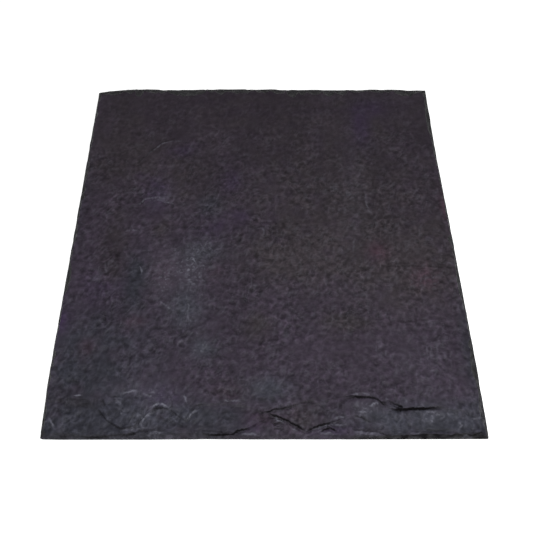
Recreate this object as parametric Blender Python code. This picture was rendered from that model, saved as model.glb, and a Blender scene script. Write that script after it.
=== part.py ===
"""A slab of riven slate with hand-dressed edges: one stone.

Metres, +Z up. The origin is in the middle of the underside, on the surface that the slab lies on.
+X is to the right and -Y is the front, where thin layers have flaked off the face in ledges.

The face is a grid whose rows and columns run along guide lines: the outline, the top of the chipped
bevel, and the foot and the lip of each ledge. A ledge is a line across the slab, and the stone in front
of that line is lower by the ledge's drop.
"""

import bmesh
import bpy
import numpy as np

MM = 0.001
NAME = "slab"

# The slab as it is sold: its outline, and the height of its face above the surface it lies on.
WIDTH = 300 * MM
DEPTH = 310 * MM
THICKNESS = 7 * MM

# The edge in section: a bevel falls from the face to the rim, which is the widest part of the stone,
# and below the rim the edge runs back in to the foot.
RIM_HEIGHT = 1.8 * MM
RIM_ROUGHNESS = 0.5 * MM
FOOT_SET_BACK = 0.9 * MM
BEVEL_CURVE = 0.85

# Each bevel is a row of shell-shaped chips. A chip reaches in from its edge by the reach given here at
# its middle and by CHIP_CUSP of that at its ends, give or take CHIP_SHARE.
BEVEL_REACH = {"left": 4.4 * MM, "right": 4.8 * MM, "front": 3.2 * MM, "back": 9.0 * MM}
CHIP_SHARE = 0.3
CHIP_CUSP = 0.45
SHORTEST_CHIP = 9 * MM
LONGEST_CHIP = 26 * MM
RIM_WAVE = 14 * MM
CHIP_SEED = 20
RIM_SEED = 25

# The front left corner is knocked off along a line: where it meets the left and the front edge, in
# millimetres in from the corner, and how steeply the stone falls outside it.
CORNER_CHIP_ALONG_LEFT = 19 * MM
CORNER_CHIP_ALONG_FRONT = 15 * MM
CORNER_CHIP_FALL = 0.35

# How far each edge is dressed back from the straight line, as (place along the edge, set back), in
# millimetres.
# The left and right edges run from the front to the back, and the other two from left to right.
DRESSED_LEFT = ((-152, 1.3), (-136, 0.7), (-114, 0.0), (0, 0.1), (80, 0.1), (150, 0.3))
DRESSED_RIGHT = ((-152, 0.4), (-105, 0.0), (-30, 0.4), (32, 1.0), (80, 1.6), (115, 1.3), (150, 1.0))
DRESSED_FRONT = ((-147, 1.7), (-133, 1.4), (-75, 1.1), (-40, 1.1), (0, 0.7), (58, 0.3), (145, 0.0))
DRESSED_BACK = (
    (-149, 4.6), (-140, 2.4), (-130, 1.3), (-118, 0.4), (-107, 0.0), (-86, 0.9), (-64, 0.8),
    (-50, 0.1), (0, 0.2), (40, 0.6), (82, 0.9), (97, 0.2), (125, 0.5), (147, 1.4),
)
CORNER_RADIUS = {
    "front_left": 3.2 * MM, "front_right": 1.6 * MM, "back_left": 3.0 * MM, "back_right": 1.4 * MM,
}

# The upper ledge, where the top layer ends, as (x, y of the lip, drop), in millimetres.
UPPER_LEDGE = (
    (-151, -129.8, 0.5), (-139, -127.4, 0.9), (-127, -128.8, 1.0), (-114, -131.6, 0.9),
    (-110, -135.5, 0.9), (-106, -140.4, 1.0), (-100, -144.4, 1.0), (-94, -147.2, 1.0),
    (-86, -146.2, 1.1), (-82, -143.8, 1.3), (-80, -140.2, 1.3), (-76, -136.8, 1.2),
    (-70, -134.2, 1.1), (-64, -134.6, 1.0), (-58, -138.4, 0.9), (-52, -142.8, 0.8),
    (-49, -139.0, 0.9), (-46, -134.6, 0.8), (-42, -131.6, 0.7), (-30, -131.2, 0.6),
    (-15, -132.4, 0.5), (0, -137.2, 0.6), (12, -135.0, 0.9), (21, -132.5, 0.8),
    (33, -131.8, 0.5), (47, -129.4, 0.6), (57, -127.3, 1.4), (67, -127.4, 1.7),
    (75, -128.1, 1.7), (79, -130.8, 1.4), (84, -131.4, 1.2), (92, -135.8, 1.6),
    (99, -135.1, 1.9), (117, -135.0, 1.9), (124, -135.7, 1.2), (134, -137.2, 0.7),
    (142, -142.8, 0.5), (151, -148.0, 0.4),
)

# The lower ledge, where the second layer ends: a tongue of it runs down to a point near the front edge.
LOWER_LEDGE = (
    (-151, -149.6, 0.1), (-100, -150.4, 0.2), (-44, -150.8, 0.6), (-38, -150.9, 1.6),
    (-19, -150.4, 1.7), (-13, -148.2, 1.5), (-5, -144.1, 1.2), (1, -141.0, 1.0),
    (5, -139.6, 1.0), (10, -140.5, 1.1), (15, -143.2, 1.2), (20, -146.2, 1.2),
    (26, -149.9, 1.2), (33, -147.4, 1.2), (45, -143.4, 1.0), (56, -140.0, 0.5),
    (61, -140.6, 0.6), (67, -143.0, 0.7), (72, -144.3, 0.6), (84, -147.4, 0.4),
    (100, -149.4, 0.2), (151, -150.6, 0.1),
)
RISER_RUN = 0.7 * MM
LEAST_LEDGE_GAP = 0.6 * MM

# The riven face: broad waves, smaller lumps, and thin steps where one cleavage layer gives way to the next.
# All three are drawn out along the grain of the stone, which runs at GRAIN_ANGLE from +X.
GRAIN_ANGLE = np.radians(58)
GRAIN_STRETCH = 1.6
WAVE_HEIGHT = 0.40 * MM
WAVE_LENGTH = 52 * MM
LUMP_HEIGHT = 0.20 * MM
LUMP_LENGTH = 15 * MM
STEP_HEIGHT = 0.24 * MM
STEP_SPACING = 40 * MM
STEP_SHARPNESS = 7
WAVE_SEED = 11
LUMP_SEED = 12
STEP_SEED = 13

# How the grid is shared out between the guide lines.
FACE_COLUMNS = 72
BEVEL_COLUMNS = 3
BEVEL_ROWS = 3
LOW_SHELF_ROWS = 2
UPPER_SHELF_ROWS = 5
FACE_ROWS = 36

# The flat middle of the underside, and how close two of its corners may come before they are one.
UNDERSIDE_HALF = 60 * MM
MERGE_DISTANCE = 0.01 * MM

SLATE_COLOUR = (0.040, 0.034, 0.045, 1.0)
SLATE_ROUGHNESS = 0.62

LATTICE = 64


def ease(share):
    """A share from 0 to 1 that starts and ends level."""
    share = np.clip(share, 0.0, 1.0)
    return share * share * (3.0 - 2.0 * share)


def gradient_noise(x, y, length, seed):
    """Smooth noise, about -1 to 1: a random slope at each lattice point, blended across each square."""
    angle = np.random.default_rng(seed).uniform(0.0, 2.0 * np.pi, (LATTICE, LATTICE))
    column = np.floor(x / length).astype(int)
    row = np.floor(y / length).astype(int)
    x_share = x / length - column
    y_share = y / length - row

    def corner(right, up):
        turn = angle[(column + right) % LATTICE, (row + up) % LATTICE]
        return np.cos(turn) * (x_share - right) + np.sin(turn) * (y_share - up)

    near = corner(0, 0) + (corner(1, 0) - corner(0, 0)) * ease(x_share)
    far = corner(0, 1) + (corner(1, 1) - corner(0, 1)) * ease(x_share)
    return np.sqrt(2.0) * (near + (far - near) * ease(y_share))


def along_points(points, column, place):
    """The value in one column of a list of points in millimetres, read between them, in metres."""
    table = np.array(points) * MM
    return np.interp(place, table[:, 0], table[:, column])


def bevel_reach(side, place):
    """How far in the bevel reaches at each place along its edge: an arc over each chip, end to end."""
    draw = np.random.default_rng(CHIP_SEED + list(BEVEL_REACH).index(side))
    count = int(np.ceil(1.1 * DEPTH / SHORTEST_CHIP))
    ends = np.cumsum(draw.uniform(SHORTEST_CHIP, LONGEST_CHIP, count)) - 0.55 * DEPTH
    size = 1.0 + CHIP_SHARE * draw.uniform(-1.0, 1.0, count)
    chip = np.clip(np.searchsorted(ends, place), 1, count - 1)
    share = 2.0 * (place - ends[chip - 1]) / (ends[chip] - ends[chip - 1]) - 1.0
    arc = np.sqrt(np.clip(1.0 - share**2, 0.0, 1.0))
    return BEVEL_REACH[side] * size[chip] * (CHIP_CUSP + (1.0 - CHIP_CUSP) * arc)


def between_guides(cells, guides, station):
    """A point's place on its row or column: even shares of the gap between one guide line and the next."""
    knots = np.concatenate([[0], np.cumsum(cells)])
    place = guides[0].copy()
    for number, count in enumerate(cells):
        share = np.clip((station - knots[number]) / count, 0.0, 1.0)
        place += share * (guides[number + 1] - guides[number])
    return place


def round_corners(x, y):
    """Each corner's square turned into a quarter disc of its radius, edge onto edge."""
    for name, radius in CORNER_RADIUS.items():
        side = 1.0 if name.endswith("right") else -1.0
        end = 1.0 if name.startswith("back") else -1.0
        out_x = side * x - (WIDTH / 2 - radius)
        out_y = end * y - (DEPTH / 2 - radius)
        inside = (out_x > 0) & (out_y > 0)
        length = np.where(inside, np.hypot(out_x, out_y), 1.0)
        pull = np.where(inside, np.maximum(out_x, out_y) / length, 1.0)
        x = np.where(inside, side * (WIDTH / 2 - radius + out_x * pull), x)
        y = np.where(inside, end * (DEPTH / 2 - radius + out_y * pull), y)
    return x, y


def riven_relief(x, y):
    """The height of the split face above or below its mean: waves, lumps and thin steps."""
    with_grain = (x * np.cos(GRAIN_ANGLE) + y * np.sin(GRAIN_ANGLE)) / GRAIN_STRETCH
    across_grain = y * np.cos(GRAIN_ANGLE) - x * np.sin(GRAIN_ANGLE)
    waves = WAVE_HEIGHT * gradient_noise(with_grain, across_grain, WAVE_LENGTH, WAVE_SEED)
    lumps = LUMP_HEIGHT * gradient_noise(with_grain, across_grain, LUMP_LENGTH, LUMP_SEED)
    layers = gradient_noise(with_grain, across_grain, STEP_SPACING, STEP_SEED)
    return waves + lumps + STEP_HEIGHT * (ease(0.5 + STEP_SHARPNESS * layers) - 0.5)


def corner_chip(x, y):
    """How much is knocked off the front left corner: it grows with the distance outside the chip's line."""
    in_from_left = x + WIDTH / 2
    in_from_front = y + DEPTH / 2
    outside = 1.0 - in_from_left / CORNER_CHIP_ALONG_FRONT - in_from_front / CORNER_CHIP_ALONG_LEFT
    line_to_corner = 1.0 / np.hypot(1.0 / CORNER_CHIP_ALONG_FRONT, 1.0 / CORNER_CHIP_ALONG_LEFT)
    return CORNER_CHIP_FALL * line_to_corner * np.maximum(outside, 0.0)


def ledge_guides(x, bevel_top):
    """The lip and the foot of each ledge at x, front to back, kept clear of the bevel and each other."""
    lower_foot = np.maximum(along_points(LOWER_LEDGE, 1, x) - RISER_RUN, bevel_top + LEAST_LEDGE_GAP)
    lower_lip = lower_foot + RISER_RUN
    upper_foot = np.maximum(along_points(UPPER_LEDGE, 1, x) - RISER_RUN, lower_lip + LEAST_LEDGE_GAP)
    return [lower_foot, lower_lip, upper_foot, upper_foot + RISER_RUN]


def top_surface(column, row, cells_across, cells_along):
    """The top of the slab, rim to rim, at each column and row of the grid."""
    flat_x = (column / sum(cells_across) - 0.5) * WIDTH
    flat_y = between_guides(cells_along, [np.full_like(flat_x, place) for place in flat_rows()], row)

    left = along_points(DRESSED_LEFT, 1, flat_y) - WIDTH / 2
    right = WIDTH / 2 - along_points(DRESSED_RIGHT, 1, flat_y)
    x_guides = [left, left + bevel_reach("left", flat_y), right - bevel_reach("right", flat_y), right]
    x = between_guides(cells_across, x_guides, column)

    front = along_points(DRESSED_FRONT, 1, x) - DEPTH / 2
    back = DEPTH / 2 - along_points(DRESSED_BACK, 1, x)
    bevel_top = front + bevel_reach("front", x)
    y_guides = [front, bevel_top, *ledge_guides(x, bevel_top), back - bevel_reach("back", x), back]
    y = between_guides(cells_along, y_guides, row)

    knots = np.cumsum(cells_along)
    shelf_1 = row <= knots[3]
    shelf_2 = row <= knots[1]
    face = THICKNESS + riven_relief(x, y)
    face -= np.where(shelf_1, along_points(UPPER_LEDGE, 2, x), 0.0)
    face -= np.where(shelf_2, along_points(LOWER_LEDGE, 2, x), 0.0)
    face -= corner_chip(x, y)

    columns_in = np.minimum(column, sum(cells_across) - column)
    rows_in = np.minimum(row, sum(cells_along) - row)
    risen = np.minimum(columns_in / BEVEL_COLUMNS, rows_in / BEVEL_ROWS)
    rim = RIM_HEIGHT + RIM_ROUGHNESS * gradient_noise(x, y, RIM_WAVE, RIM_SEED)
    z = rim + (face - rim) * np.clip(risen, 0.0, 1.0) ** BEVEL_CURVE
    x, y = round_corners(x, y)
    return np.stack([x, y, z], axis=1)


def flat_rows():
    """Where the guide lines would lie on a slab with straight edges and straight ledges."""
    front = -DEPTH / 2
    back = DEPTH / 2
    lower_lip = np.mean([point[1] for point in LOWER_LEDGE]) * MM
    upper_lip = np.mean([point[1] for point in UPPER_LEDGE]) * MM
    return [
        front, front + BEVEL_REACH["front"], lower_lip - RISER_RUN, lower_lip,
        upper_lip - RISER_RUN, upper_lip, back - BEVEL_REACH["back"], back,
    ]


def slab_mesh():
    """The whole stone: the shaped grid on top, the edge below its rim, and the flat underside."""
    cells_across = (BEVEL_COLUMNS, FACE_COLUMNS, BEVEL_COLUMNS)
    cells_along = (BEVEL_ROWS, LOW_SHELF_ROWS, 1, UPPER_SHELF_ROWS, 1, FACE_ROWS, BEVEL_ROWS)
    columns = sum(cells_across)
    rows = sum(cells_along)
    stone = bmesh.new()
    bmesh.ops.create_grid(stone, x_segments=columns, y_segments=rows, size=0.5)
    grid = np.array([vertex.co[:] for vertex in stone.verts]) + 0.5
    column = np.round(grid[:, 0] * columns)
    row = np.round(grid[:, 1] * rows)
    points = top_surface(column, row, cells_across, cells_along)
    middle = (points.min(axis=0) + points.max(axis=0)) / 2
    points[:, :2] -= middle[:2]
    for vertex, point in zip(stone.verts, points):
        vertex.co = point

    rim = [edge for edge in stone.edges if edge.is_boundary]
    lowered = bmesh.ops.extrude_edge_only(stone, edges=rim)["geom"]
    set_back = 1.0 - FOOT_SET_BACK / (WIDTH / 2)
    for vertex in [item for item in lowered if isinstance(item, bmesh.types.BMVert)]:
        vertex.co = (vertex.co.x * set_back, vertex.co.y * set_back, 0.0)

    foot = [item for item in lowered if isinstance(item, bmesh.types.BMEdge)]
    gathered = bmesh.ops.extrude_edge_only(stone, edges=foot)["geom"]
    corners = [item for item in gathered if isinstance(item, bmesh.types.BMVert)]
    for vertex in corners:
        vertex.co.x = UNDERSIDE_HALF if vertex.co.x > 0 else -UNDERSIDE_HALF
        vertex.co.y = UNDERSIDE_HALF if vertex.co.y > 0 else -UNDERSIDE_HALF
    bmesh.ops.remove_doubles(stone, verts=corners, dist=MERGE_DISTANCE)
    bmesh.ops.holes_fill(stone, edges=[edge for edge in stone.edges if edge.is_boundary])
    bmesh.ops.recalc_face_normals(stone, faces=stone.faces)

    mesh = bpy.data.meshes.new(NAME)
    stone.to_mesh(mesh)
    stone.free()
    return mesh


def slate():
    """Dark purple-grey slate with the dull sheen of a split face."""
    material = bpy.data.materials.new("slate")
    material.use_nodes = True
    shader = material.node_tree.nodes["Principled BSDF"]
    shader.inputs["Base Color"].default_value = SLATE_COLOUR
    shader.inputs["Roughness"].default_value = SLATE_ROUGHNESS
    shader.inputs["Metallic"].default_value = 0.0
    material.diffuse_color = SLATE_COLOUR
    return material


def main():
    for item in list(bpy.data.objects):
        bpy.data.objects.remove(item, do_unlink=True)
    collection = bpy.data.collections.new("slate_slab")
    bpy.context.scene.collection.children.link(collection)
    slab = bpy.data.objects.new(NAME, slab_mesh())
    slab.data.materials.append(slate())
    collection.objects.link(slab)


main()
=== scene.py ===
"""A slab of riven slate with hand-dressed edges, lying on a pale studio floor.

Metres, +Z up. The origin is in the middle of the underside. +X is to the right and -Y is the front, where
thin layers have flaked off the face in ledges. The stone is one closed surface: a fine grid over the face
and its chipped bevels, rings round the edge below the rim, and a coarser grid underneath.
"""

import math

import bpy
import numpy as np
from mathutils import Matrix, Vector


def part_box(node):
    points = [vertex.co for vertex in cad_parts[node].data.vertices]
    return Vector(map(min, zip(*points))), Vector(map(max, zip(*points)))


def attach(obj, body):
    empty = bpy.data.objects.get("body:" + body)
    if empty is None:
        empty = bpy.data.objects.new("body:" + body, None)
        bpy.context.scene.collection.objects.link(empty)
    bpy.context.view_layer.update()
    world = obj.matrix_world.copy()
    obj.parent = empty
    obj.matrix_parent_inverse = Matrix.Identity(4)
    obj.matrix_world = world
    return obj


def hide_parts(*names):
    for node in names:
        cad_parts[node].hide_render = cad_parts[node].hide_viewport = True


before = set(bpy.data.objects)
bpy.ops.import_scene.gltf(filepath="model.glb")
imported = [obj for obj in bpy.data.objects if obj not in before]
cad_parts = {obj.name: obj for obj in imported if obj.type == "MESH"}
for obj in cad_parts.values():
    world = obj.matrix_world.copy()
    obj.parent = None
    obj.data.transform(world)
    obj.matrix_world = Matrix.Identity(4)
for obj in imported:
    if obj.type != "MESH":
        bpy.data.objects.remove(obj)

bl_info = {
    "name": "Riven slate slab",
    "version": (1, 0, 0),
    "blender": (4, 5, 0),
    "location": "3D View > Sidebar > Slate",
    "description": "Makes a riven slate slab with dressed edges, and a plain stage for it",
    "category": "Add Mesh",
}

MM = 0.001
SOLID = "slab"
BODY = "root"
SOLID_LOW, SOLID_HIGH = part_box(SOLID)
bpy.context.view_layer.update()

# How far each edge is dressed back from the straight line, as (place along the edge, set back), in
# millimetres. The left and right edges run from the front to the back, the other two from left to right.
DRESSED_LEFT = ((-152, 1.3), (-136, 0.7), (-114, 0.0), (0, 0.1), (80, 0.1), (150, 0.3))
DRESSED_RIGHT = ((-152, 0.4), (-105, 0.0), (-30, 0.4), (32, 1.0), (80, 1.6), (115, 1.3), (150, 1.0))
DRESSED_FRONT = ((-147, 1.7), (-133, 1.4), (-75, 1.1), (-40, 1.1), (0, 0.7), (58, 0.3), (145, 0.0))
DRESSED_BACK = (
    (-149, 4.6), (-140, 2.4), (-130, 1.3), (-118, 0.4), (-107, 0.0), (-86, 0.9), (-64, 0.8),
    (-50, 0.1), (0, 0.2), (40, 0.6), (82, 0.9), (97, 0.2), (125, 0.5), (147, 1.4),
)
CORNER_RADIUS = {
    "front_left": 3.2 * MM, "front_right": 1.6 * MM, "back_left": 3.0 * MM, "back_right": 1.4 * MM,
}

# Each bevel is a row of shell-shaped chips. A chip reaches in furthest at its middle, and by CHIP_CUSP of
# that at its ends, give or take CHIP_SHARE. Small nicks break up the line that the chips leave. The row is
# CHIP_OVERRUN times as long as the slab, so that no edge runs out of chips. In section a bevel rises as the
# share of the way in to the power BEVEL_CURVE, less a scoop at each chip, and looks broken to BEVEL_EDGE.
SIDES = ("left", "right", "front", "back")
CHIP_SHARE = 0.3
CHIP_CUSP = 0.68
SHORTEST_CHIP = 7 * MM
LONGEST_CHIP = 44 * MM
CHIP_OVERRUN = 1.1
CHIP_SEED = 20
NICK_SHARE = 0.16
NICK_LENGTH = 3.2 * MM
NICK_SEED = 31
RIM_ROUGHNESS = 0.5 * MM
RIM_WAVE = 14 * MM
RIM_SEED = 25
BEVEL_CURVE = 0.85
CHIP_SCOOP = 0.35
BEVEL_EDGE = 0.85

# Painted shade darkens the front bevel from here to the right. Left of it the bevel takes less of the broken
# stone's colour, which is partly painted shade.
DARK_FRONT_START = 45 * MM
DARK_FRONT_RUN = 40 * MM
DARK_FRONT_LENGTH = 9 * MM
DARK_FRONT_STRETCH = 2.0
DARK_FRONT_SEED = 35
DARK_FRONT_SHARE = 0.92
DARK_FRONT_MEAN = 0.7
DARK_FRONT_CHANGE = 1.2
PLAIN_FRONT_SHARE = 0.6

# The front left corner is knocked off along a line between these places on its two edges.
CORNER_CHIP_ALONG_LEFT = 19 * MM
CORNER_CHIP_ALONG_FRONT = 15 * MM
CORNER_CHIP_FALL = 0.35

# The upper ledge, where the top layer ends, as (x, y of the lip, drop), in millimetres.
UPPER_LEDGE = (
    (-151, -129.8, 0.5), (-139, -127.4, 0.9), (-127, -128.8, 1.0), (-114, -131.6, 0.9),
    (-110, -135.5, 0.9), (-106, -140.4, 1.0), (-100, -144.4, 1.0), (-94, -147.2, 1.0),
    (-86, -146.2, 1.1), (-82, -143.8, 1.3), (-80, -140.2, 1.3), (-76, -136.8, 1.2),
    (-70, -134.2, 1.1), (-64, -134.6, 1.0), (-58, -138.4, 0.9), (-52, -142.8, 0.8),
    (-49, -139.0, 0.9), (-46, -134.6, 0.8), (-42, -131.6, 0.7), (-30, -131.2, 0.6),
    (-15, -132.4, 0.5), (0, -137.2, 0.6), (12, -135.0, 0.9), (21, -132.5, 0.8),
    (33, -131.8, 0.2), (53, -127.0, 0.2), (59, -126.4, 0.9), (67, -127.0, 1.2),
    (75, -128.1, 1.2), (79, -130.8, 1.1), (84, -131.4, 1.1), (92, -135.8, 1.6),
    (99, -135.1, 1.8), (112, -135.0, 1.6), (119, -135.6, 0.6), (134, -137.2, 0.3),
    (142, -142.8, 0.3), (151, -148.0, 0.3),
)

# The lower ledge, where the second layer ends: a tongue of it runs down to a point near the front edge.
LOWER_LEDGE = (
    (-151, -149.6, 0.1), (-100, -150.4, 0.2), (-44, -150.8, 0.6), (-38, -150.9, 1.6),
    (-19, -150.4, 1.7), (-13, -148.2, 1.5), (-5, -144.1, 1.2), (1, -141.0, 1.0),
    (5, -139.6, 1.0), (10, -140.5, 1.1), (15, -143.2, 1.2), (20, -146.2, 1.2),
    (26, -149.9, 1.2), (33, -147.4, 1.2), (45, -143.4, 1.0), (56, -140.0, 0.5),
    (61, -140.6, 0.6), (67, -143.0, 0.7), (72, -144.3, 0.6), (84, -147.4, 0.4),
    (100, -149.4, 0.2), (151, -150.6, 0.1),
)

# Along the upper ledge, in millimetres at each x: how far its slope runs out in front of the lip, and how
# far the stone is hollowed out under the lip.
SLOPE_RUN = (
    (-150, 1.2), (-132, 3.2), (-116, 3.0), (-108, 1.4), (-84, 1.2), (-78, 1.8), (-66, 1.8), (-58, 1.2),
    (-52, 1.2), (-48, 1.7), (-44, 1.2), (40, 1.2), (52, 0.7), (151, 0.7),
)
HOLLOWED = (
    (50, 0.0), (56, 0.1), (62, 0.6), (68, 0.5), (73, 0.2), (79, 0.0), (90, 0.0), (95, 0.8), (98, 1.0),
    (103, 0.7), (108, 0.8), (113, 0.5), (118, 0.1), (121, 0.0),
)
RISER_RUN = 0.7 * MM
LOWER_RUN_LEAST = 0.5
LIP_ROUND = 0.14 * MM
LIP_THICKNESS = 0.55 * MM
LEAST_LEDGE_GAP = 0.6 * MM
LEDGE_RAGGED = 0.45 * MM
LEDGE_RAGGED_LENGTH = 6 * MM
LEDGE_SEED = 41
LOWER_RAGGED_SHARE = 0.6

# The hollow under the upper lip: where the slope's foot, the hollow's floor and its roof lie, as (runs of the
# slope in front of the lip, depths of the hollow behind it), and how far down its floor and its roof lie.
SLOPE_FOOT = (1.0, -0.8)
HOLLOW_FLOOR = (0.9, 1.4)
HOLLOW_ROOF = (0.35, 1.2)
FLOOR_DROP_SHARE = 0.75
ROOF_DROP_SHARE = 0.5

# How dark the painted shade is in each ledge's riser: a share, and how much that grows with each millimetre
# of the upper ledge's hollow and of the lower ledge's drop. The risers also take a little of the broken
# stone's colour, which is partly painted shade.
UPPER_SHADE = 0.1
UPPER_SHADE_GROWTH = 1.4
LOWER_SHADE = -0.2
LOWER_SHADE_GROWTH = 0.4
RISER_BROKEN_AND_SHADE = 0.25

# Clefts, where thin layers end in small steps, painted dark as their shadow, and pale bruised lines, partly
# painted highlights, each a row of points (x, y, strength from 0 to 1), in millimetres. A cleft runs from
# left to right with its step down in front of it.
DARK_LINES = (
    ((-136, -128.5, 0), (-133, -128, 0.4), (-121, -128.5, 0.4), (-114, -131, 0)),
    ((-124, -131, 0), (-120, -131, 0.5), (-114, -130.5, 0)),
    ((-113, -132, 0), (-109, -138.5, 0.3), (-104, -142.5, 0.3), (-96, -147.5, 0.5), (-91, -147, 0.4),
     (-87, -146, 0.4), (-83, -144, 0.3), (-82, -142, 0)),
    ((-111, -126, 0), (-108, -131, 0.4), (-104, -135.5, 0)),
    ((-94, -121.5, 0), (-91, -121, 0.4), (-86, -120.5, 0)),
    ((-103, -126.5, 0.2), (-101, -126.5, 0.5), (-99, -126, 0)),
    ((-102, -131, 0), (-99, -132, 0.4), (-94, -134.5, 0)),
    ((-80, -125.5, 0), (-78, -125.5, 0.5), (-75, -125, 0)),
    ((-76, -135.5, 0), (-74, -135, 0.5), (-70, -134, 0.6), (-67, -134.5, 0.5), (-61, -136.5, 0)),
    ((-85, -141, 0), (-84, -142.5, 0.5), (-82, -145.5, 0)),
    ((-140, -151, 0), (-132, -151.5, 0.5), (-129, -151.5, 0.2), (-122, -152, 0.3), (-117, -152.5, 0.6),
     (-111, -152.5, 0.7), (-101, -151.5, 0.4), (-94, -151, 0.4), (-90, -151, 0.6), (-86, -150.5, 0.7),
     (-83, -149, 0.5), (-74, -148.5, 0.4), (-71, -148, 0)),
    ((-70, -151.5, 0), (-66, -151, 0.3), (-58, -151, 0.4), (-50, -151, 0)),
    ((-49, -134.5, 0), (-47, -133, 0.4), (-43, -132, 0.5), (-40, -131.5, 0)),
    ((-54, -147.5, 0), (-52, -146, 0.4), (-50, -145, 0)),
    ((-143, -138.5, 0), (-140, -142.5, 0.4), (-136, -147, 0)),
    ((-42, -151, 0), (-39, -151, 0.5), (-32, -151.5, 0.9), (-21, -151, 0.8), (-17, -149, 0.8),
     (-13, -148, 0.8), (-8, -147.5, 0)),
    ((-7, -144.5, 0), (-1, -143.5, 0.5), (5, -142.5, 0)),
    ((-5, -138, 0), (-1, -137.5, 0.4), (3, -137, 0.8), (7, -135.5, 0.7), (13, -135, 0.6), (20, -133, 0.3),
     (29, -130.5, 0.4), (34, -130.5, 0)),
    ((0, -138, 0), (3, -138.5, 0.5), (5, -139.5, 0.7), (10, -140.5, 0.8), (17, -144, 0.8), (24, -148, 0.8),
     (28, -151, 0)),
    ((5, -145.5, 0), (6, -145, 0.6), (10, -144, 0.6), (13, -145.5, 0)),
    ((5, -148, 0), (7, -148, 0.5), (11, -148, 0.5), (13, -147.5, 0)),
    ((27, -150.5, 0), (30, -148.5, 0.7), (33, -147, 0.8), (42, -145, 0.7), (47, -143.5, 0)),
    ((37, -150, 0), (38, -149.5, 0.6), (40, -148.5, 0.8), (43, -147.5, 0.7), (46, -149, 0.8), (49, -151, 0)),
    ((-24, -134, 0), (-21, -133.5, 0.3), (-15, -134, 0.2), (-12, -134, 0)),
    ((-8, -129, 0), (-4, -128.5, 0.3), (0, -128.5, 0.3), (3, -128, 0)),
    ((53, -128, 0), (56, -128, 0.2), (63, -127.5, 0.8), (74, -128, 0.6), (77, -129, 0.5), (78, -130.5, 0.6),
     (80, -132, 0.7), (84, -132.5, 0)),
    ((82, -129, 0), (84, -130.5, 0.4), (86, -132, 0.6), (89, -133, 0.6), (92, -134.5, 0.8),
     (93, -135.5, 0.9)),
    ((83, -135, 0), (85, -135.5, 0.5), (92, -136, 1), (95, -136, 1), (99, -135, 0.9), (102, -135.5, 1),
     (108, -135.5, 0.9), (118, -135, 0.5), (124, -135.5, 0)),
    ((59, -140, 0), (61, -140, 0.5), (65, -141, 0.6), (69, -143.5, 0.4), (78, -144, 0)),
    ((56, -148.5, 0), (62, -149, 0.5), (75, -150, 0.3), (79, -152, 0.6), (82, -153, 0.6), (84, -152, 0.3),
     (88, -151.5, 0.3), (97, -153, 0.5), (102, -153.5, 0.5), (107, -153, 0.3), (113, -154, 0.6),
     (120, -154, 0.6), (124, -153, 0.4), (127, -152, 0.6), (131, -153, 0.6), (134, -153.5, 0.3),
     (138, -152.5, 0.6), (143, -151.5, 0.7), (148, -153.5, 0)),
    ((105, -148.5, 0), (108, -149, 0.4), (114, -150, 0.5), (120, -149.5, 0.4), (124, -149, 0)),
    ((93, -146, 0), (96, -146.5, 0.3), (102, -147.5, 0)),
    ((-110, 67, 0), (-105, 68, 0.4), (-94, 82, 0.3), (-88, 89, 0.3), (-80, 93, 0.3), (-71, 95, 0)),
    ((87, -28.5, 0), (96, -29, 0.3), (108, -28.5, 0.3), (123, -29, 0.2), (134, -29.5, 0.3), (147, -30, 0.2)),
)
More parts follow.
